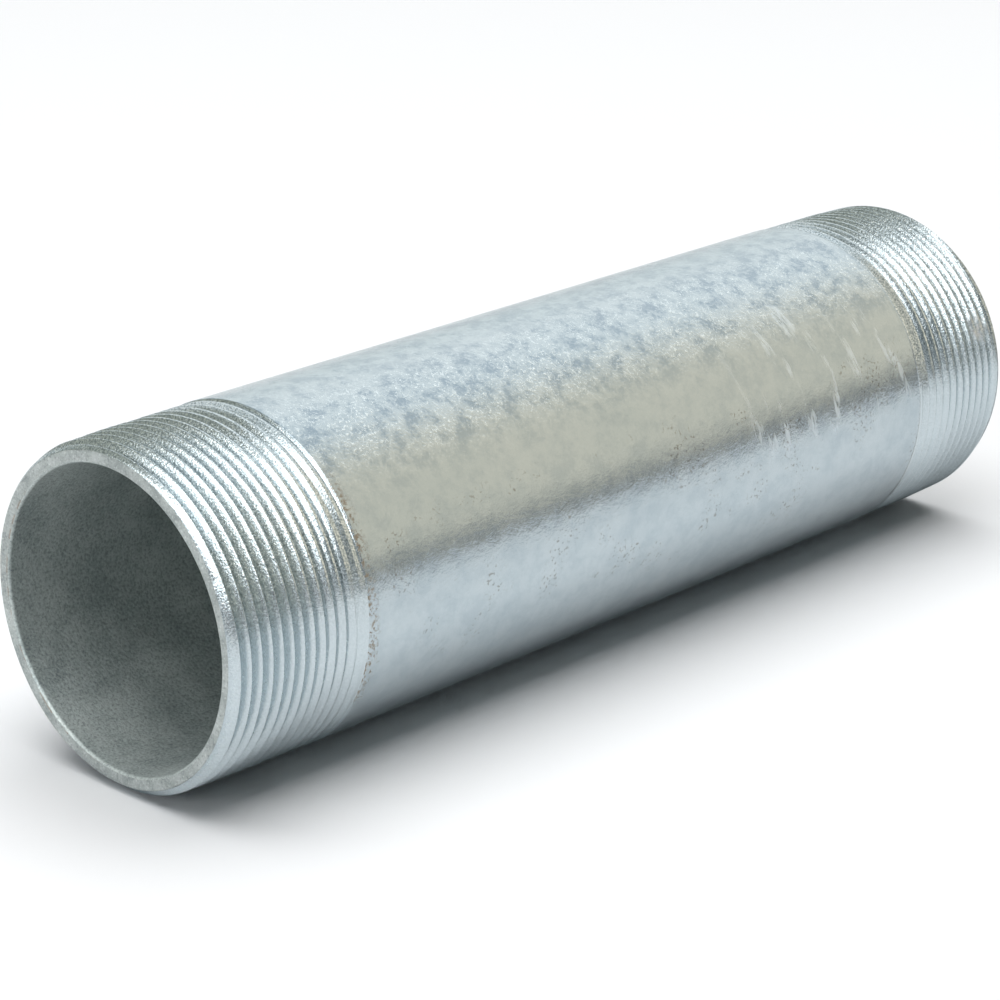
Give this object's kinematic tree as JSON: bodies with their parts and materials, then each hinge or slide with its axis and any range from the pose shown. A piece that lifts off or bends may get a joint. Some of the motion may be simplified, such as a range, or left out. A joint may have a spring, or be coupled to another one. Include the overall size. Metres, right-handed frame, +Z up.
{
  "type": "threaded pipe nipple",
  "caption": "Straight galvanised steel pipe nipple: a plain barrel with a right-hand taper pipe thread on each end and a clear bore.",
  "frame": {"origin": "middle of the pipe's length, on the axis of the bore", "axes": "+X along the pipe, from the near threaded end (-X) to the far one (+X); +Z up as the pipe lies; +Y away"},
  "size_m": [0.2032, 0.0604, 0.0603],
  "materials": {
    "galvanised_steel": "hot-dip zinc coat, semi-bright and finely grained on the barrel, granular and dull on the threads, dark and mottled in the bore"
  },
  "bodies": {
    "root": {"pipe_nipple": "galvanised_steel"}
  },
  "joints": []
}
